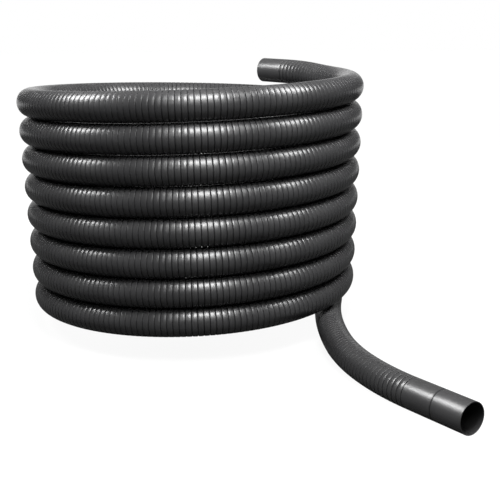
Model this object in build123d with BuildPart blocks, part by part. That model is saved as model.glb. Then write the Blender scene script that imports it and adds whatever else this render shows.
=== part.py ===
from build123d import *
import math
import os

# Underground cable duct: one length of round plastic pipe, wound into a single-layer coil that stands
# on the floor with its axis upright. Each turn is a little wider than the one below it. The lower end
# comes out from under the coil and runs along the floor, the upper end stops on top of the coil.
# Millimetres, Z up. The origin is on the coil's axis at floor level, X points to the side where both
# ends leave the coil and -Y to the side that the lower end runs out to.

# Pipe
pipe_outer = 75.0
pipe_wall = 2.0

# Coil: the bottom turn lies on the floor, then the pipe climbs onto the slope of the turns above. The
# coil's radius is the one at the start of that slope, and from there it widens by the cone angle
bottom_radius = 427.0
bottom_flat_angle = 130.0
climb_end_angle = 180.0
climb_height = 46.0
coil_radius = 429.0
coil_cone_angle = 2.0
turn_gap = 3.0
coil_end_angle = 2897.0

# Lower end, on the floor: from this angle on it tucks in under the turn above, crosses below it and
# swings away from the coil
tuck_start_angle = 65.0
tuck_radius = 388.0
tuck_past_angle = 12.0
cross_radius = 1515.0
cross_angle = 15.0
swing_radius = 722.0
swing_angle = 29.3

# Upper end: it springs up a little from the turn below
lift_end_angle = 2927.5
lift_height = 9.0

# Plain cuffs at the two ends, with a shallow ring groove halfway along the lower one
lower_cuff_length = 172.0
upper_cuff_length = 90.0
groove_from_mouth = 86.0
groove_width = 3.0
groove_depth = 0.8

# Worked out from the sizes above
pipe_radius = pipe_outer / 2
bore_radius = pipe_radius - pipe_wall
pitch = pipe_outer + turn_gap
rest_height = pipe_radius
climb_end_height = rest_height + climb_height
slant = math.cos(math.radians(coil_cone_angle))
helix_height = pitch * slant * (coil_end_angle - climb_end_angle) / 360
lift_turn = lift_end_angle - coil_end_angle
lift_rise = pitch * lift_turn / 360 + lift_height


def double_arc(start, start_direction, end, end_direction):
    """Two arcs, tangent to each other, from one point and direction to another, in space."""
    step = end - start
    turn = start_direction + end_direction
    spread = 2 * (1 - start_direction.dot(end_direction))
    root = math.sqrt(step.dot(turn) ** 2 + spread * step.dot(step))
    reach = (root - step.dot(turn)) / spread
    middle = (start + end + (start_direction - end_direction) * reach) / 2
    first = TangentArc(start, middle, tangent=start_direction)
    second = TangentArc(middle, end, tangent=first % 1)
    return first, second


# The pipe's centre line, from the mouth of the lower end to that of the upper one
with BuildLine() as bottom_turn:
    flat_turn = bottom_flat_angle - tuck_start_angle
    flat = CenterArc((0, 0, rest_height), bottom_radius, tuck_start_angle, flat_turn)

with BuildLine() as lower_end:
    tuck = JernArc(flat @ 0, -(flat % 0), tuck_radius, -(tuck_start_angle + tuck_past_angle))
    cross = JernArc(tuck @ 1, tuck % 1, cross_radius, cross_angle)
    swing = JernArc(cross @ 1, cross % 1, swing_radius, swing_angle)
    lower_cuff = Line(swing @ 1, swing @ 1 + (swing % 1) * lower_cuff_length)

turns = Helix(pitch, helix_height, coil_radius, (0, 0, climb_end_height), cone_angle=coil_cone_angle)
turns = turns.rotate(Axis.Z, climb_end_angle)

with BuildLine() as climb:
    double_arc(flat @ 1, flat % 1, turns @ 0, turns % 0)

with BuildLine() as upper_end:
    lift_end = (turns @ 1).rotate(Axis.Z, lift_turn) + (0, 0, lift_rise)
    upper_direction = (turns % 1).rotate(Axis.Z, lift_turn)
    double_arc(turns @ 1, turns % 1, lift_end, upper_direction)
    upper_cuff = Line(lift_end, lift_end + upper_direction * upper_cuff_length)

centre_line = Wire(
    lower_end.edges() + bottom_turn.edges() + climb.edges() + turns.edges() + upper_end.edges()
)

with BuildPart() as duct:
    with BuildSketch(Plane(origin=centre_line @ 0, z_dir=centre_line % 0)):
        Circle(pipe_radius)
        Circle(bore_radius, mode=Mode.SUBTRACT)
    sweep(path=centre_line)
    groove_middle = lower_cuff @ 1 - (lower_cuff % 1) * groove_from_mouth
    with BuildSketch(Plane(origin=groove_middle, z_dir=lower_cuff % 1)):
        Circle(pipe_radius + 1)
        Circle(pipe_radius - groove_depth, mode=Mode.SUBTRACT)
    extrude(amount=groove_width / 2, both=True, mode=Mode.SUBTRACT)

duct.part.label = "duct"
os.makedirs("parts", exist_ok=True)
export_step(duct.part, "parts/duct.step")
print("length of duct, mm:", round(centre_line.length))
print("section times length, mm3:", round(math.pi * (pipe_radius**2 - bore_radius**2) * centre_line.length))
print("volume, mm3:", round(duct.part.volume), "valid:", duct.part.is_valid)
for name, end, direction in (
    ("lower", lower_cuff @ 1, lower_cuff % 1),
    ("upper", upper_cuff @ 1, upper_cuff % 1),
):
    print(name, "mouth and direction:", end, direction)
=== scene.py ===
import math

import bpy
import numpy as np
from mathutils import Matrix, Vector


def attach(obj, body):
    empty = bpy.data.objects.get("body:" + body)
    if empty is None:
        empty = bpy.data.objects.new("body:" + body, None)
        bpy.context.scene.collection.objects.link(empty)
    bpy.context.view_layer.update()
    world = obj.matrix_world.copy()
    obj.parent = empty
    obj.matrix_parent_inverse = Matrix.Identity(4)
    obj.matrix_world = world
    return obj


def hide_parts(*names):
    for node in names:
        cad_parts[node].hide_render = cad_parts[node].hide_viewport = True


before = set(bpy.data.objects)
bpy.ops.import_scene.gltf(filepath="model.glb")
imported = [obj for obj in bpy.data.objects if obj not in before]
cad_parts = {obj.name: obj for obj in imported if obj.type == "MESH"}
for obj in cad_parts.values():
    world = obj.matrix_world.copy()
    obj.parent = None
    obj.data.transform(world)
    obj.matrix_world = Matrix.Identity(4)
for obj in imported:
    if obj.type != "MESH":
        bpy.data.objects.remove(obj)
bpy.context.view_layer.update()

bl_info = {
    "name": "Underground cable duct",
    "version": (1, 0, 0),
    "blender": (4, 5, 0),
    "location": "View3D > Sidebar > Cable duct",
    "description": "A coil of ribbed plastic cable duct with plain cuffs, and a plain studio for it",
    "category": "Object",
}


def linear(code):
    """An sRGB hex colour such as #3F3F40 as linear red, green and blue."""
    channels = [int(code[place:place + 2], 16) / 255 for place in (1, 3, 5)]
    return [c / 12.92 if c <= 0.04045 else ((c + 0.055) / 1.055) ** 2.4 for c in channels]


class DuctSettings(bpy.types.PropertyGroup):
    """Sizes and colours of the duct"""

    pipe_outer: bpy.props.FloatProperty(
        name="Outer diameter", description="Across the ribs and the cuffs", default=0.075, unit="LENGTH"
    )
    pipe_wall: bpy.props.FloatProperty(
        name="Wall", description="From the smooth bore to the outside of a cuff",
        default=0.002, unit="LENGTH",
    )
    bottom_radius: bpy.props.FloatProperty(
        name="Bottom radius", description="From the coil's axis to the centre line of the turn on the floor",
        default=0.427, unit="LENGTH",
    )
    coil_radius: bpy.props.FloatProperty(
        name="Coil radius", description="The same, at the start of the coil's slope",
        default=0.429, unit="LENGTH",
    )
    coil_cone: bpy.props.FloatProperty(
        name="Coil cone", description="How much the coil leans outwards on the way up",
        default=math.radians(2), subtype="ANGLE",
    )
    turn_gap: bpy.props.FloatProperty(
        name="Turn gap", description="Free height between one turn and the next",
        default=0.003, unit="LENGTH",
    )
    bottom_flat: bpy.props.FloatProperty(
        name="Flat to", description="Angle up to which the bottom turn lies on the floor",
        default=math.radians(130), subtype="ANGLE",
    )
    climb_end: bpy.props.FloatProperty(
        name="Climb to", description="Angle at which the pipe has climbed onto the coil's slope",
        default=math.radians(180), subtype="ANGLE",
    )
    climb_height: bpy.props.FloatProperty(
        name="Climb height", description="How far the pipe has climbed there",
        default=0.046, unit="LENGTH",
    )
    coil_end: bpy.props.FloatProperty(
        name="Coil to", description="Angle at which the last turn stops lying on the one below",
        default=math.radians(2897), subtype="ANGLE",
    )
    tuck_start: bpy.props.FloatProperty(
        name="Tuck from", description="Angle at which the bottom turn leaves the coil's circle, inwards",
        default=math.radians(65), subtype="ANGLE",
    )
    tuck_radius: bpy.props.FloatProperty(
        name="Tuck radius", description="Radius of the bend that takes it inwards",
        default=0.388, unit="LENGTH",
    )
    tuck_past: bpy.props.FloatProperty(
        name="Tuck past", description="How far that bend goes on past the coil's side",
        default=math.radians(12), subtype="ANGLE",
    )
    cross_radius: bpy.props.FloatProperty(
        name="Crossing radius", description="Radius of the run that passes below the coil",
        default=1.515, unit="LENGTH",
    )
    cross_turn: bpy.props.FloatProperty(
        name="Crossing turn", description="How far that run turns",
        default=math.radians(15), subtype="ANGLE",
    )
    swing_radius: bpy.props.FloatProperty(
        name="Swing radius", description="Radius of the bend away from the coil",
        default=0.722, unit="LENGTH",
    )
    swing_turn: bpy.props.FloatProperty(
        name="Swing turn", description="How far that bend turns",
        default=math.radians(29.3), subtype="ANGLE",
    )
    lift_end: bpy.props.FloatProperty(
        name="Lift to", description="Angle at which the upper end runs straight",
        default=math.radians(2927.5), subtype="ANGLE",
    )
    lift_height: bpy.props.FloatProperty(
        name="Lift height", description="How far the upper end springs up from the turn below",
        default=0.009, unit="LENGTH",
    )
    lower_cuff: bpy.props.FloatProperty(
        name="Lower cuff", description="Length of the plain cuff at the lower end",
        default=0.172, unit="LENGTH",
    )
    upper_cuff: bpy.props.FloatProperty(
        name="Upper cuff", description="Length of the plain cuff at the upper end",
        default=0.09, unit="LENGTH",
    )
    cuff_groove_from_mouth: bpy.props.FloatProperty(
        name="Cuff groove", description="Ring groove of the lower cuff, from its mouth",
        default=0.086, unit="LENGTH",
    )
    cuff_groove_width: bpy.props.FloatProperty(
        name="Cuff groove width", description="Width of that groove", default=0.003, unit="LENGTH"
    )
    cuff_groove_depth: bpy.props.FloatProperty(
        name="Cuff groove depth", description="Depth of that groove", default=0.0008, unit="LENGTH"
    )
    rib_pitch: bpy.props.FloatProperty(
        name="Rib pitch", description="From one rib to the next, along the pipe",
        default=0.0145, unit="LENGTH",
    )
    groove_depth: bpy.props.FloatProperty(
        name="Groove depth", description="Depth of the grooves between the ribs",
        default=0.0016, unit="LENGTH",
    )
    groove_floor: bpy.props.FloatProperty(
        name="Groove floor", description="Width of a groove at its floor", default=0.0010, unit="LENGTH"
    )
    ovality: bpy.props.FloatProperty(
        name="Ovality", description="How much taller than wide the bend makes the coil's turns",
        default=0.028, min=0, max=0.035,
    )
    sides: bpy.props.IntProperty(
        name="Points around", description="Points in each ring of the mesh", default=32, min=12
    )
    colour: bpy.props.FloatVectorProperty(
        name="Plastic", description="Colour of the polyethylene",
        default=linear("#343435"), subtype="COLOR",
        min=0, max=1,
    )


class StageSettings(bpy.types.PropertyGroup):
    """The studio around the duct"""

    floor_colour: bpy.props.FloatVectorProperty(
        name="Floor", description="How much light the floor throws back up; the camera sees it white",
        default=linear("#444444"), subtype="COLOR", min=0, max=1,
    )
    floor_radius: bpy.props.FloatProperty(
        name="Floor radius", description="Size of the round floor", default=25.0, unit="LENGTH"
    )
    camera_distance: bpy.props.FloatProperty(
        name="Camera distance", description="From the coil's axis, towards the front",
        default=2.7313, unit="LENGTH",
    )
    camera_height: bpy.props.FloatProperty(
        name="Camera height", description="Above the floor", default=0.8411, unit="LENGTH"
    )
    camera_down: bpy.props.FloatProperty(
        name="Camera tilt", description="How far the camera looks down", default=0.2361, subtype="ANGLE"
    )
    camera_aside: bpy.props.FloatProperty(
        name="Camera pan", description="How far the camera looks to the right of the coil's axis",
        default=0.0599, subtype="ANGLE",
    )
    camera_lens: bpy.props.FloatProperty(
        name="Lens", description="Focal length in millimetres on a 36 mm sensor", default=68.225
    )
    camera_roll: bpy.props.FloatProperty(
        name="Camera roll", description="How far the camera leans to its right",
        default=0.0072, subtype="ANGLE",
    )
    lamp_distance: bpy.props.FloatProperty(
        name="Lamp distance", description="From the middle of the coil to each softbox",
        default=2.6, unit="LENGTH",
    )
    lamp_strength: bpy.props.FloatProperty(
        name="Lamps", description="Strength of all lamps together", default=1.0, min=0
    )


# The pipe's centre line: a list of runs, each with its length and a function of the distance along it


def straight_run(start, direction, length):
    """A straight stretch."""
    def at(along):
        return start + along[:, None] * direction, np.tile(direction, (len(along), 1))
    return length, at


def bent_run(start, direction, inward, radius, turn):
    """An arc that bends towards inward."""
    def at(along):
        angle = (along / radius)[:, None]
        place = start + radius * (np.sin(angle) * direction + (1 - np.cos(angle)) * inward)
        return place, np.cos(angle) * direction + np.sin(angle) * inward
    return radius * turn, at


def wound_run(radius, cone, pitch, height, first, last):
    """A helix around the Z axis, from one angle to another, upwards and outwards on a cone.

    The pitch is measured on the cone.
    """
    rise = pitch / (2 * math.pi)
    widening = rise * math.sin(cone)
    climbing = rise * math.cos(cone)

    # The length along the helix at each angle, added up over small steps
    steps_in_all = 4000
    turned = np.linspace(0, last - first, steps_in_all + 1)
    middles = (turned[1:] + turned[:-1]) / 2
    steps = np.hypot(radius + widening * middles, rise) * np.diff(turned)
    lengths = np.concatenate(((0.0,), np.cumsum(steps)))

    def at(along):
        turn = np.interp(along, lengths, turned)
        angle = first + turn
        reach = radius + widening * turn
        place = np.stack((reach * np.cos(angle), reach * np.sin(angle), height + climbing * turn), axis=1)
        direction = np.stack((
            widening * np.cos(angle) - reach * np.sin(angle),
            widening * np.sin(angle) + reach * np.cos(angle),
            np.full(len(angle), climbing),
        ), axis=1)
        return place, direction / np.linalg.norm(direction, axis=1)[:, None]
    return lengths[-1], at


def backwards(run):
    """The same run from its other end."""
    length, at = run

    def back(along):
        place, direction = at(length - along)
        return place, -direction
    return length, back


def first_of(run):
    """The place and the direction at a run's start."""
    place, direction = run[1](np.zeros(1))
    return place[0], direction[0]


def last_of(run):
    """The place and the direction at a run's end."""
    place, direction = run[1](np.full(1, run[0]))
    return place[0], direction[0]


def arc_to(start, direction, end):
    """The arc that leaves start in a direction and passes through end."""
    step = end - start
    inward = step - step.dot(direction) * direction
    inward = inward / np.linalg.norm(inward)
    radius = step.dot(step) / (2 * step.dot(inward))
    turn = math.atan2(step.dot(direction), radius - step.dot(inward))
    return bent_run(start, direction, inward, radius, turn)


def double_arc(start, start_direction, end, end_direction):
    """Two arcs, tangent to each other, from one point and direction to another."""
    step = end - start
    turn = start_direction + end_direction
    spread = 2 * (1 - start_direction.dot(end_direction))
    root = math.sqrt(step.dot(turn) ** 2 + spread * step.dot(step))
    reach = (root - step.dot(turn)) / spread
    middle = (start + end + (start_direction - end_direction) * reach) / 2
    first = arc_to(start, start_direction, middle)
    return [first, arc_to(middle, last_of(first)[1], end)]


def flat_bend(start, direction, radius, turn):
    """A level arc. A positive turn goes to the left, seen from above."""
    left = np.array((-direction[1], direction[0], 0.0))
    return bent_run(start, direction, left if turn > 0 else -left, radius, abs(turn))


def centre_line(duct):
    """The runs from the lower mouth to the upper one, and where the coil starts and ends."""
    rest = duct.pipe_outer / 2
    pitch = duct.pipe_outer + duct.turn_gap
    radius = duct.bottom_radius
    begin = np.array((radius * math.cos(duct.tuck_start), radius * math.sin(duct.tuck_start), rest))
    onwards = np.array((-math.sin(duct.tuck_start), math.cos(duct.tuck_start), 0.0))
    flat = flat_bend(begin, onwards, radius, duct.bottom_flat - duct.tuck_start)

    tuck = flat_bend(begin, -onwards, duct.tuck_radius, -(duct.tuck_start + duct.tuck_past))
    cross = flat_bend(*last_of(tuck), duct.cross_radius, duct.cross_turn)
    swing = flat_bend(*last_of(cross), duct.swing_radius, duct.swing_turn)
    cuff = straight_run(*last_of(swing), duct.lower_cuff)

    height = rest + duct.climb_height
    turns = wound_run(duct.coil_radius, duct.coil_cone, pitch, height, duct.climb_end, duct.coil_end)
    climb = double_arc(*last_of(flat), *first_of(turns))

    lift_turn = duct.lift_end - duct.coil_end
    turned = Matrix.Rotation(lift_turn, 3, "Z")
    lifted, heading = (np.array(turned @ Vector(value)) for value in last_of(turns))
    lifted[2] += pitch * lift_turn / (2 * math.pi) + duct.lift_height
    lift = double_arc(*last_of(turns), lifted, heading)
    upper = straight_run(lifted, heading, duct.upper_cuff)

    lower_end = [backwards(run) for run in (cuff, swing, cross, tuck)]
    runs = lower_end + [flat] + climb + [turns] + lift + [upper]
    coil_start = sum(run[0] for run in lower_end)
    coil_end = coil_start + flat[0] + sum(run[0] for run in climb) + turns[0]
    return runs, coil_start, coil_end


def follow(runs, along):
    """Places and directions on the centre line at distances from the lower mouth."""
    places = np.zeros((len(along), 3))
    directions = np.zeros((len(along), 3))
    start = 0.0
    for length, at in runs:
        here = (along >= start - 1e-9) & (along <= start + length + 1e-9)
        places[here], directions[here] = at(np.clip(along[here] - start, 0, length))
        start += length
    return places, directions


# The pipe's wall, ring by ring


def rib_grooves(duct, runs):
    """Distances along the pipe of the grooves between the ribs, from cuff to cuff."""
    total = sum(run[0] for run in runs)
    first = duct.lower_cuff
    last = total - duct.upper_cuff
    count = round((last - first) / duct.rib_pitch)
    return np.linspace(first, last, count + 1)


def ribbed_rings(duct, grooves):
    """Rings of the outside between the middles of the first and the last of these grooves.

    A rib is a flat band with a slight crown and rounded shoulders.
    """
    outer = duct.pipe_outer / 2
    pitch = grooves[1] - grooves[0]
    flank_width = 0.0004
    rounding_width = 0.0008
    shoulder_depth = 0.0005
    crown_depth = 0.00008
    half_floor = duct.groove_floor / 2
    shoulder = half_floor + flank_width
    offsets = (half_floor, shoulder, shoulder + rounding_width, pitch / 2)
    depths = (duct.groove_depth, shoulder_depth, crown_depth, 0.0)
    rib_along = np.array(offsets + tuple(pitch - offset for offset in offsets[2::-1]))
    rib_radius = outer - np.array(depths + depths[2::-1])
    along = (grooves[:-1, None] + rib_along).ravel()
    radii = np.tile(rib_radius, len(grooves) - 1)
    ends = outer - duct.groove_depth
    return np.concatenate((grooves[:1], along, grooves[-1:])), np.concatenate(((ends,), radii, (ends,)))


def bore_rings(duct, first, last):
    """Rings of the smooth bore, from last back to first."""
    count = max(1, round((last - first) / duct.rib_pitch))
    along = np.linspace(last, first, count + 1)
    return along, np.full(len(along), duct.pipe_outer / 2 - duct.pipe_wall)


def rim_rings(duct):
    """The rounded rim of a mouth, from the bore to the outside: distances from the mouth, and radii."""
    outer = duct.pipe_outer / 2
    bore = outer - duct.pipe_wall
    distances = np.array((0.0012, 0.0004, 0.0001, 0.0, 0.0, 0.0001, 0.0004, 0.0012))
    insets = (0.0, 0.00003, 0.0002, 0.0005)
    radii = [bore + inset for inset in insets] + [outer - inset for inset in insets[::-1]]
    return distances, np.array(radii)


def tallness(duct, runs, along):
    """How tall the pipe's section is for its width: 1 at the ends and on the floor, more in the coil."""
    # The lower end's four runs and the flat stretch, and then the climb's two and the turns
    on_floor = 5
    in_coil = 3
    lengths = [run[0] for run in runs]
    coil_start = sum(lengths[:on_floor])
    coil_end = coil_start + sum(lengths[on_floor:on_floor + in_coil])
    fading = 0.5
    near_end = np.minimum(along - coil_start, coil_end - along) / fading
    share = np.clip(near_end, 0, 1)
    return 1 + duct.ovality * share * share * (3 - 2 * share)


def skin(duct, runs, along, radii):
    """One skin of the pipe: its vertices with their normals, its faces, the distance and the angle of
    every face corner, and how deep each vertex lies in a groove.
    """
    sides = duct.sides
    places, directions = follow(runs, along)
    across = np.cross(directions, (0.0, 0.0, 1.0))
    across /= np.linalg.norm(across, axis=1)[:, None]
    above = np.cross(across, directions)
    angles = np.arange(sides) * 2 * math.pi / sides
    ring = np.cos(angles)[:, None] * across[:, None] + np.sin(angles)[:, None] * above[:, None]
    upright = above * (tallness(duct, runs, along) - 1)[:, None]
    section = ring + np.sin(angles)[:, None] * upright[:, None]
    vertices = places[:, None] + radii[:, None, None] * section

    # Each ring's normal is the mean of the two bands beside it, weighted by their widths, so that the
    # wide bands look straight and only the narrow ones round
    bands = np.stack((np.diff(along), np.diff(radii)), axis=1)
    outward = np.stack((-bands[:, 1], bands[:, 0]), axis=1)
    both = np.concatenate((outward[:1], outward[:-1] + outward[1:], outward[-1:]))
    both /= np.linalg.norm(both, axis=1)[:, None]
    normals = both[:, :1, None] * directions[:, None] + both[:, 1:, None] * ring

    # How deep each ring lies in a groove: 1 at its floor, 0 on the ribs, in the bore and on the rims
    rim_zone = 0.01
    from_mouth = np.minimum(along, sum(run[0] for run in runs) - along)
    sunken = (duct.pipe_outer / 2 - radii) / duct.groove_depth
    in_bore = sunken > 1.01
    sunken[in_bore | (from_mouth < rim_zone)] = 0

    row, column = np.meshgrid(np.arange(len(along) - 1), np.arange(sides), indexing="ij")
    beside = (column + 1) % sides
    corners = ((row, column), (row + 1, column), (row + 1, beside), (row, beside))
    faces = np.stack([r * sides + c for r, c in corners], axis=-1).reshape(-1, 4)
    steps = ((row, column), (row + 1, column), (row + 1, column + 1), (row, column + 1))
    lengths = np.stack([along[r] for r, c in steps], axis=-1).ravel()
    turns = np.stack([c / sides for r, c in steps], axis=-1).ravel()
    return vertices.reshape(-1, 3), normals.reshape(-1, 3), faces, lengths, turns, np.repeat(sunken, sides)


def wall_piece(context, name, skins):
    """One piece of the duct from its skins. It stands for the CAD node duct and moves with the root."""
    duct = context.scene.cable_duct
    vertices, normals, faces, lengths, turns, depths = [], [], [], [], [], []
    count = 0
    for points, shading, quads, length, turn, sunken in skins:
        vertices.append(points)
        normals.append(shading)
        faces.append(quads + count)
        lengths.append(length)
        turns.append(turn)
        depths.append(sunken)
        count += len(points)
    mesh = bpy.data.meshes.new(name)
    mesh.from_pydata(np.concatenate(vertices).tolist(), [], np.concatenate(faces).tolist())
    mesh.shade_smooth()

    outer = duct.pipe_outer / 2
    unrolled = mesh.uv_layers.new(name="unrolled")
    corners = np.stack((np.concatenate(lengths), np.concatenate(turns) * 2 * math.pi * outer), axis=1)
    unrolled.data.foreach_set("uv", corners.ravel().astype(np.float32))
    groove = mesh.attributes.new("groove", "FLOAT", "POINT")
    groove.data.foreach_set("value", np.concatenate(depths).astype(np.float32))
    mesh.materials.append(moulded_polyethylene(duct))
    mesh.normals_split_custom_set_from_vertices(np.concatenate(normals).tolist())

    piece = bpy.data.objects.new(name, mesh)
    context.scene.collection.objects.link(piece)
    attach(piece, "root")
    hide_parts("duct")
    return piece


# Materials


def add_node(tree, kind, settings=None, inputs=None, links=None):
    """Adds one node, sets its settings and its sockets, and links its sockets to other nodes' outputs."""
    node = tree.nodes.new(kind)
    for name, value in (settings or {}).items():
        setattr(node, name, value)
    for name, value in (inputs or {}).items():
        node.inputs[name].default_value = value
    for name, output in (links or {}).items():
        tree.links.new(output, node.inputs[name])
    return node


def moulded_polyethylene(duct):
    """Charcoal polyethylene, extruded and formed in a corrugator's moulds.

    It gives the eye a dark, even satin: highlights that are crisp along the pipe and soft around it,
    a faint cloudiness where the hot wall met the mould, a trace of pale dust on top, and grooves
    darkened nearly to black with painted shade.
    """
    name = "Moulded polyethylene, charcoal"
    if name in bpy.data.materials:
        return bpy.data.materials[name]
    material = bpy.data.materials.new(name)
    material.use_nodes = True
    tree = material.node_tree
    tree.nodes.clear()
    place = add_node(tree, "ShaderNodeTexCoord").outputs["Object"]

    # Clouds about 90 mm across, and a 6 mm mottle inside them
    clouds = add_node(
        tree, "ShaderNodeTexNoise", inputs={"Scale": 1 / 0.09, "Detail": 3.0, "Roughness": 0.5},
        links={"Vector": place},
    )
    mottle = add_node(
        tree, "ShaderNodeTexNoise", inputs={"Scale": 1 / 0.006, "Detail": 2.0, "Roughness": 0.6},
        links={"Vector": place},
    )
    both = add_node(
        tree, "ShaderNodeMix", inputs={"Factor": 0.35},
        links={"A": clouds.outputs["Fac"], "B": mottle.outputs["Fac"]},
    )
    base = list(duct.colour)
    tone = add_node(tree, "ShaderNodeValToRGB", links={"Fac": both.outputs["Result"]})
    tone.color_ramp.elements[0].position = 0.30
    tone.color_ramp.elements[0].color = [0.86 * value for value in base] + [1]
    tone.color_ramp.elements[1].position = 0.70
    tone.color_ramp.elements[1].color = [1.14 * value for value in base] + [1]

    # A trace of dust lies on what faces up, in patches of some 40 mm, and less of it in the grooves
    groove = add_node(tree, "ShaderNodeAttribute", {"attribute_name": "groove"})
    surface = add_node(tree, "ShaderNodeNewGeometry")
    facing = add_node(tree, "ShaderNodeSeparateXYZ", links={"Vector": surface.outputs["Normal"]})
    upward = add_node(
        tree, "ShaderNodeMapRange", inputs={"From Min": 0.1, "From Max": 0.9, "To Min": 0.0, "To Max": 1.0},
        links={"Value": facing.outputs["Z"]},
    )
    patches = add_node(
        tree, "ShaderNodeTexNoise", inputs={"Scale": 1 / 0.04, "Detail": 4.0, "Roughness": 0.65},
        links={"Vector": place},
    )
    lying = add_node(
        tree, "ShaderNodeMath", {"operation": "MULTIPLY"},
        links={0: upward.outputs["Result"], 1: patches.outputs["Fac"]},
    )
    trapped = add_node(
        tree, "ShaderNodeMapRange", inputs={"From Min": 0.0, "From Max": 1.0, "To Min": 0.05, "To Max": 0.02},
        links={"Value": groove.outputs["Fac"]},
    )
    dust = add_node(
        tree, "ShaderNodeMath", {"operation": "MULTIPLY"},
        links={0: lying.outputs["Value"], 1: trapped.outputs["Result"]},
    )
    colour = add_node(tree, "ShaderNodeMix", {"data_type": "RGBA"}, links={"Factor": dust.outputs["Value"]})
    tree.links.new(tone.outputs["Color"], colour.inputs[6])
    colour.inputs[7].default_value = linear("#8A8884") + [1]

    # Painted shade: the grooves' floors and flanks are darkened nearly to black in the colour, for the little
    # light that leaves a groove
    deep = add_node(
        tree, "ShaderNodeMapRange", inputs={"From Min": 0.08, "From Max": 0.35, "To Min": 0.0, "To Max": 1.0},
        links={"Value": groove.outputs["Fac"]},
    )
    shade = add_node(tree, "ShaderNodeMix", {"data_type": "RGBA"}, links={"Factor": deep.outputs["Result"]})
    tree.links.new(colour.outputs[2], shade.inputs[6])
    shade.inputs[7].default_value = linear("#212122") + [1]

    # Satin gloss: a little duller in the clouds' pale half and in the grooves, whose reflections are also
    # weakened as painted shade
    gloss = add_node(
        tree, "ShaderNodeMapRange", inputs={"From Min": 0.3, "From Max": 0.7, "To Min": 0.22, "To Max": 0.27},
        links={"Value": both.outputs["Result"]},
    )
    dull = add_node(
        tree, "ShaderNodeMath", {"operation": "MULTIPLY_ADD"}, inputs={1: 0.20},
        links={0: groove.outputs["Fac"], 2: gloss.outputs["Result"]},
    )
    sheen = add_node(
        tree, "ShaderNodeMapRange", inputs={"From Min": 0.0, "From Max": 1.0, "To Min": 0.5, "To Max": 0.16},
        links={"Value": deep.outputs["Result"]},
    )

    # The die leaves fine lines along the pipe, which spread a highlight around it and keep it crisp
    # along it. They are too fine to draw, so they are in the shader's anisotropy alone.
    lengthwise = add_node(tree, "ShaderNodeTangent", {"direction_type": "UV_MAP", "uv_map": "unrolled"})

    # Mould grain of 0.5 mm. It is far finer than a pixel, so it only softens the highlights.
    grain = add_node(
        tree, "ShaderNodeTexNoise", inputs={"Scale": 1 / 0.0005, "Detail": 1.0, "Roughness": 0.5},
        links={"Vector": place},
    )
    relief = add_node(
        tree, "ShaderNodeBump", inputs={"Strength": 0.12, "Distance": 0.00005},
        links={"Height": grain.outputs["Fac"]},
    )
    shader = add_node(
        tree, "ShaderNodeBsdfPrincipled",
        inputs={"IOR": 1.54, "Metallic": 0.0, "Anisotropic": 0.9, "Anisotropic Rotation": 0.25},
        links={
            "Base Color": shade.outputs[2], "Roughness": dull.outputs["Value"],
            "Specular IOR Level": sheen.outputs["Result"],
            "Normal": relief.outputs["Normal"], "Tangent": lengthwise.outputs["Tangent"],
        },
    )
    add_node(tree, "ShaderNodeOutputMaterial", links={"Surface": shader.outputs["BSDF"]})
    return material


def seen_white(tree, y_axis, start, end):
    """1 for what the camera sees as background, and 0 for light on its way.

    In a reflection or through glass it is the backdrop, which lies behind the duct: it fades in
    along the Y axis from start to end. The lamps' side of the studio is dim there.
    """
    path = add_node(tree, "ShaderNodeLightPath")
    passed_on = add_node(
        tree, "ShaderNodeMath", {"operation": "MAXIMUM"},
        links={0: path.outputs["Is Glossy Ray"], 1: path.outputs["Is Transmission Ray"]},
    )
    backdrop = add_node(
        tree, "ShaderNodeMapRange", {"interpolation_type": "SMOOTHSTEP"},
        inputs={"From Min": start, "From Max": end, "To Min": 0.0, "To Max": 1.0}, links={"Value": y_axis},
    )
    mirrored = add_node(
        tree, "ShaderNodeMath", {"operation": "MULTIPLY"},
        links={0: passed_on.outputs["Value"], 1: backdrop.outputs["Result"]},
    )
    return add_node(
        tree, "ShaderNodeMath", {"operation": "MAXIMUM"},
        links={0: path.outputs["Is Camera Ray"], 1: mirrored.outputs["Value"]},
    ).outputs["Value"]


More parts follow.
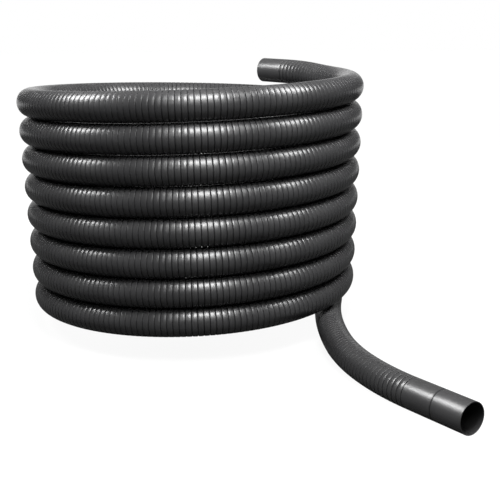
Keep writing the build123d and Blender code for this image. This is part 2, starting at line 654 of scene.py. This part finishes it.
def painted_floor(stage):
    """Matt painted studio floor. It shows white to the camera and keeps the duct's soft shadow.

    Its own grey only sets how much of the lamps' light it throws up under the turns. Inside the coil it shows
    a painted shadow.
    """
    material = bpy.data.materials.new("Matt paint, studio floor")
    material.use_nodes = True
    tree = material.node_tree
    tree.nodes.clear()
    place = add_node(tree, "ShaderNodeTexCoord").outputs["Object"]

    # A roller's stipple, about 4 mm
    stipple = add_node(
        tree, "ShaderNodeTexNoise", inputs={"Scale": 1 / 0.004, "Detail": 2.0}, links={"Vector": place}
    )
    relief = add_node(
        tree, "ShaderNodeBump", inputs={"Strength": 0.05, "Distance": 0.0002},
        links={"Height": stipple.outputs["Fac"]},
    )
    paint = add_node(
        tree, "ShaderNodeBsdfDiffuse", inputs={"Color": list(stage.floor_colour) + [1]},
        links={"Normal": relief.outputs["Normal"]},
    )
    split = add_node(tree, "ShaderNodeSeparateXYZ", links={"Vector": place})
    seen = seen_white(tree, split.outputs["Y"], 3.0, 6.0)

    # White to the camera: nearly so around the duct, where the lamps' light and the duct's shadow
    #     # come on top, pure further out, and dimmer inside the coil, as a painted shadow
    shade_middle = (0, 0.12, 0)
    shade_radius = 0.34
    apart = add_node(tree, "ShaderNodeVectorMath", {"operation": "DISTANCE"}, links={"Vector": place})
    apart.inputs[1].default_value = shade_middle
    lift_with_painted_shadow = add_node(
        tree, "ShaderNodeMapRange",
        inputs={"From Min": 0.0, "From Max": shade_radius, "To Min": 0.55, "To Max": 0.92},
        links={"Value": apart.outputs["Value"]},
    )
    further = add_node(
        tree, "ShaderNodeMapRange", inputs={"From Min": 0.6, "From Max": 1.1, "To Min": 0.0, "To Max": 0.09},
        links={"Value": apart.outputs["Value"]},
    )
    brightness = add_node(
        tree, "ShaderNodeMath", {"operation": "ADD"},
        links={0: lift_with_painted_shadow.outputs["Result"], 1: further.outputs["Result"]},
    )
    lift = add_node(
        tree, "ShaderNodeMath", {"operation": "MULTIPLY"}, links={0: seen, 1: brightness.outputs["Value"]}
    )
    white = add_node(tree, "ShaderNodeEmission", links={"Strength": lift.outputs["Value"]})
    sum_of = add_node(
        tree, "ShaderNodeAddShader", links={0: paint.outputs["BSDF"], 1: white.outputs["Emission"]}
    )
    add_node(tree, "ShaderNodeOutputMaterial", links={"Surface": sum_of.outputs["Shader"]})
    return material


# Operators


class DUCT_OT_add_lower_end(bpy.types.Operator):
    """Add the duct's lower end: its rim, plain cuff with a ring groove, and the ribbed run along the floor"""

    bl_idname = "duct.add_lower_end"
    bl_label = "Add lower end"
    end_rounding = 0.0003

    def execute(self, context):
        duct = context.scene.cable_duct
        runs, coil_start, _ = centre_line(duct)
        grooves = rib_grooves(duct, runs)
        grooves = grooves[:np.argmin(abs(grooves - coil_start)) + 1]
        outer = duct.pipe_outer / 2
        rim, rim_radii = rim_rings(duct)
        bore, bore_radii = bore_rings(duct, rim[0], grooves[-1])
        ribs, rib_radii = ribbed_rings(duct, grooves)

        # The plain cuff's rings: two before its ring groove, four at the groove, two after it, and three
        # that round the cuff's end down into the first groove between the ribs
        half = duct.cuff_groove_width / 2
        steps = np.array((-half - 0.0002, -half + 0.0003, half - 0.0003, half + 0.0002))
        ring_groove = duct.cuff_groove_from_mouth + steps
        edge = duct.lower_cuff - duct.groove_floor / 2
        rounded_end = (edge - 0.0014, edge - 0.0004, edge)
        cuff = np.concatenate(((0.02, 0.045), ring_groove, (0.1, 0.125), rounded_end))
        depths = np.array((0, 0, 0, 1, 1, 0, 0, 0, 0, 0, 0)) * duct.cuff_groove_depth
        depths[-2:] = self.end_rounding, duct.groove_depth
        along = np.concatenate((bore[:-1], rim, cuff, ribs))
        radii = np.concatenate((bore_radii[:-1], rim_radii, outer - depths, rib_radii))
        wall_piece(context, "lower_end", [skin(duct, runs, along, radii)])
        return {"FINISHED"}


class DUCT_OT_add_turns(bpy.types.Operator):
    """Add the coil's ribbed turns, one piece for each"""

    bl_idname = "duct.add_turns"
    bl_label = "Add turns"

    def execute(self, context):
        duct = context.scene.cable_duct
        runs, coil_start, coil_end = centre_line(duct)
        grooves = rib_grooves(duct, runs)
        first = np.argmin(abs(grooves - coil_start))
        last = np.argmin(abs(grooves - coil_end))
        count = round((coil_end - coil_start) / (2 * math.pi * duct.coil_radius))
        cuts = np.linspace(first, last, count + 1).round().astype(int)
        for number in range(count):
            own = grooves[cuts[number]:cuts[number + 1] + 1]
            outside = skin(duct, runs, *ribbed_rings(duct, own))
            inside = skin(duct, runs, *bore_rings(duct, own[0], own[-1]))
            wall_piece(context, f"turn_{number + 1}", [outside, inside])
        return {"FINISHED"}


class DUCT_OT_add_upper_end(bpy.types.Operator):
    """Add the duct's upper end: the ribbed stretch that lifts off the coil, and its plain cuff and rim"""

    bl_idname = "duct.add_upper_end"
    bl_label = "Add upper end"
    end_rounding = 0.0003

    def execute(self, context):
        duct = context.scene.cable_duct
        runs, _, coil_end = centre_line(duct)
        total = sum(run[0] for run in runs)
        grooves = rib_grooves(duct, runs)
        grooves = grooves[np.argmin(abs(grooves - coil_end)):]
        outer = duct.pipe_outer / 2
        rim, rim_radii = rim_rings(duct)
        bore, bore_radii = bore_rings(duct, grooves[0], total - rim[0])
        ribs, rib_radii = ribbed_rings(duct, grooves)
        edge = total - duct.upper_cuff + duct.groove_floor / 2
        cuff = np.array((edge, edge + 0.0004, edge + 0.0014, edge + 0.02, edge + 0.045, edge + 0.07))
        depths = np.array((duct.groove_depth, self.end_rounding, 0, 0, 0, 0))
        along = np.concatenate((ribs, cuff, total - rim[::-1], bore[1:]))
        radii = np.concatenate((rib_radii, outer - depths, rim_radii[::-1], bore_radii[1:]))
        wall_piece(context, "upper_end", [skin(duct, runs, along, radii)])
        return {"FINISHED"}


class DUCT_OT_add_stage(bpy.types.Operator):
    """Add the floor, the lamps, the room's light and the camera"""

    bl_idname = "duct.add_stage"
    bl_label = "Add stage"

    def execute(self, context):
        stage = context.scene.duct_stage
        scene = context.scene
        self.add_floor(scene, stage)
        self.add_lamps(scene, stage)
        self.add_room(scene)
        self.add_camera(scene, stage)
        scene.view_settings.view_transform = "Standard"
        return {"FINISHED"}

    def add_floor(self, scene, stage):
        corners = 96
        angles = np.linspace(0, 2 * math.pi, corners + 1)[:-1]
        rim = [(stage.floor_radius * math.cos(a), stage.floor_radius * math.sin(a), 0.0) for a in angles]
        mesh = bpy.data.meshes.new("floor")
        mesh.from_pydata(rim, [], [list(range(len(rim)))])
        mesh.materials.append(painted_floor(stage))
        floor = bpy.data.objects.new("floor", mesh)
        scene.collection.objects.link(floor)

    def add_lamps(self, scene, stage):
        """Softboxes around the duct, all at one distance from a point inside the coil, which they face.

        Each has its azimuth from the front, towards +X, its elevation, its width and height and its
        power in watts. The two behind only fill the shade there, without a highlight of their own.
        """
        middle = Vector((0, -0.15, 0.40))
        boxes = {
            "front": (8, 57, 0.90, 0.92, 84.0),
            "front_left": (-24, 59, 0.36, 0.92, 8.0),
            "front_right": (42, 57, 0.52, 0.92, 13.0),
            "front_low": (5, 34, 2.40, 0.60, 14.0),
            "left": (-97, 48, 0.80, 0.92, 58.0),
            "right": (86, 52, 0.84, 0.92, 58.0),
            "back_left": (-160, 36, 1.20, 0.92, 26.0),
            "back_right": (160, 36, 1.20, 0.92, 26.0),
        }
        for name, (azimuth, elevation, width, height, power) in boxes.items():
            around = math.radians(azimuth)
            up = math.radians(elevation)
            level = math.cos(up)
            outward = Vector((math.sin(around) * level, -math.cos(around) * level, math.sin(up)))
            light = bpy.data.lights.new(name, "AREA")
            light.shape = "RECTANGLE"
            light.size = width
            light.size_y = height
            light.energy = power * stage.lamp_strength
            lamp = bpy.data.objects.new(name, light)
            lamp.location = middle + stage.lamp_distance * outward
            lamp.rotation_euler = (-outward).to_track_quat("-Z", "Y").to_euler()
            lamp.visible_camera = False
            lamp.visible_glossy = not name.startswith("back")
            scene.collection.objects.link(lamp)

    def add_room(self, scene):
        world = bpy.data.worlds.new("studio")
        world.use_nodes = True
        tree = world.node_tree
        tree.nodes.clear()
        direction = add_node(tree, "ShaderNodeTexCoord").outputs["Generated"]
        split = add_node(tree, "ShaderNodeSeparateXYZ", links={"Vector": direction})
        seen = seen_white(tree, split.outputs["Y"], 0.92, 0.99)
        strength = add_node(
            tree, "ShaderNodeMapRange",
            inputs={"From Min": 0.0, "From Max": 1.0, "To Min": 0.04, "To Max": 1.0}, links={"Value": seen},
        )
        room = add_node(
            tree, "ShaderNodeBackground", inputs={"Color": (1, 1, 1, 1)},
            links={"Strength": strength.outputs["Result"]},
        )
        add_node(tree, "ShaderNodeOutputWorld", links={"Surface": room.outputs["Background"]})
        scene.world = world

    def add_camera(self, scene, stage):
        data = bpy.data.cameras.new("camera")
        data.sensor_width = 36
        data.lens = stage.camera_lens
        camera = bpy.data.objects.new("camera", data)
        camera.location = (0, -stage.camera_distance, stage.camera_height)
        level = math.cos(stage.camera_down)
        forward = Vector((
            math.sin(stage.camera_aside) * level,
            math.cos(stage.camera_aside) * level,
            -math.sin(stage.camera_down),
        ))
        upright = forward.to_track_quat("-Z", "Y").to_matrix()
        camera.rotation_euler = (upright @ Matrix.Rotation(-stage.camera_roll, 3, "Z")).to_euler()
        scene.collection.objects.link(camera)
        scene.camera = camera


class DUCT_PT_panel(bpy.types.Panel):
    """Buttons and sizes for the cable duct"""

    bl_idname = "DUCT_PT_panel"
    bl_label = "Cable duct"
    bl_space_type = "VIEW_3D"
    bl_region_type = "UI"
    bl_category = "Cable duct"

    def draw(self, context):
        layout = self.layout
        for operator in PIECES:
            layout.operator(operator.bl_idname)
        for group in (context.scene.cable_duct, context.scene.duct_stage):
            box = layout.box()
            for name in group.__annotations__:
                box.prop(group, name)


PIECES = (DUCT_OT_add_lower_end, DUCT_OT_add_turns, DUCT_OT_add_upper_end, DUCT_OT_add_stage)
CLASSES = (DuctSettings, StageSettings) + PIECES + (DUCT_PT_panel,)


def register():
    for cls in CLASSES:
        bpy.utils.register_class(cls)
    bpy.types.Scene.cable_duct = bpy.props.PointerProperty(type=DuctSettings)
    bpy.types.Scene.duct_stage = bpy.props.PointerProperty(type=StageSettings)


def unregister():
    del bpy.types.Scene.duct_stage
    del bpy.types.Scene.cable_duct
    for cls in reversed(CLASSES):
        bpy.utils.unregister_class(cls)


def main():
    register()
    bpy.ops.duct.add_lower_end()
    bpy.ops.duct.add_turns()
    bpy.ops.duct.add_upper_end()
    bpy.ops.duct.add_stage()
    bpy.context.view_layer.update()


if __name__ == "__main__":
    main()
